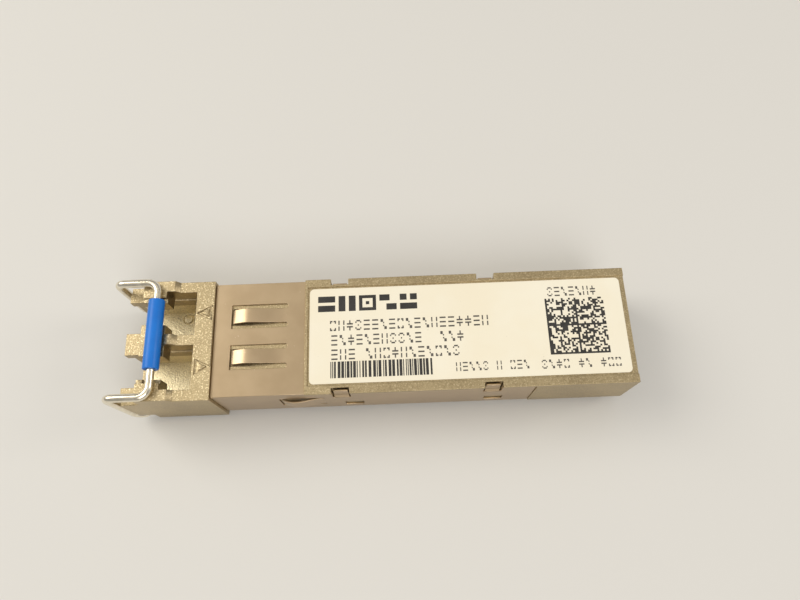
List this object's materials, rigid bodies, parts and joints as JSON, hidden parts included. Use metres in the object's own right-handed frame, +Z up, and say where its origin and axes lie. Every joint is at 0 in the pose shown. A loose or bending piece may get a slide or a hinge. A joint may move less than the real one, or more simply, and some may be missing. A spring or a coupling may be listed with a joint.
{
  "type": "optical transceiver module",
  "caption": "Pluggable optical transceiver: die-cast housing and cover in a sheet-steel shell, twin fibre ports, wire bail that works a rocking latch, and a rear edge connector.",
  "frame": {"origin": "centre of the bounding box in plan, on the surface that the module stands on", "axes": "+X from the fibre ports to the edge connector, +Y towards the transmit port's side, +Z up through the label"},
  "size_m": [0.0582, 0.014, 0.0111],
  "materials": {
    "cast_nickel": "satin nickel plate over a fine-grained die casting",
    "shell_steel": "satin nickel-plated sheet steel",
    "label_paper": "matt cream polyester label",
    "bail_steel": "bright nickel-plated steel wire",
    "grip_blue": "blue soft plastic tube, semi-gloss",
    "lever_steel": "satin plated steel",
    "pin_steel": "ground stainless steel",
    "spring_steel": "bright spring steel",
    "black_plastic": "matt black plastic",
    "gasket_foam": "conductive elastomer",
    "receptacle_steel": "turned stainless steel",
    "zirconia": "polished white ceramic",
    "gold_plate": "gold plate",
    "flex_film": "amber polyimide film",
    "board_green": "green solder mask over glass fibre",
    "chip_black": "moulded black epoxy",
    "ferrite": "dark ferrite",
    "ceramic_tan": "tan ceramic with tinned ends",
    "pad_grey": "soft thermal silicone"
  },
  "bodies": {
    "housing": {"base_housing": "cast_nickel", "top_cover": "cast_nickel", "emi_shell": "shell_steel", "label": "label_paper", "lever_pin": "pin_steel", "latch_spring": "spring_steel", "osa_retainer": "black_plastic", "emi_gasket": "gasket_foam", "tx_receptacle": "receptacle_steel", "tx_split_sleeve": "zirconia", "tx_fibre_stub": "zirconia", "tx_laser_can": "gold_plate", "tx_laser_header": "gold_plate", "tx_leads": "gold_plate", "tx_flex": "flex_film", "rx_receptacle": "receptacle_steel", "rx_split_sleeve": "zirconia", "rx_fibre_stub": "zirconia", "rx_detector_can": "gold_plate", "rx_detector_header": "gold_plate", "rx_leads": "gold_plate", "rx_flex": "flex_film", "circuit_board": "board_green", "top_contacts": "gold_plate", "bottom_contacts": "gold_plate", "laser_driver": "chip_black", "receive_amplifier": "chip_black", "microcontroller": "chip_black", "memory_chip": "chip_black", "inductors": "ferrite", "capacitors": "ceramic_tan", "resistors": "chip_black", "thermal_pad": "pad_grey"},
    "bail": {"bail_wire": "bail_steel", "bail_grip": "grip_blue"},
    "lever": {"latch_lever": "lever_steel"}
  },
  "joints": [
    {"name": "bail_hinge", "type": "hinge", "parent": "housing", "child": "bail", "pos_m": [-0.0268, 0, 0.00135], "axis": [0, -1, 0], "range_deg": [0, 90]},
    {"name": "latch_rocker", "type": "hinge", "parent": "housing", "child": "lever", "pos_m": [-0.02045, 0, 0.00105], "axis": [0, -1, 0], "range_deg": [0, 6.05], "deforming": ["latch_spring"]}
  ],
  "couplings": [
    {"joint": "latch_rocker", "follows": "bail_hinge", "ratio": 0.0667}
  ]
}
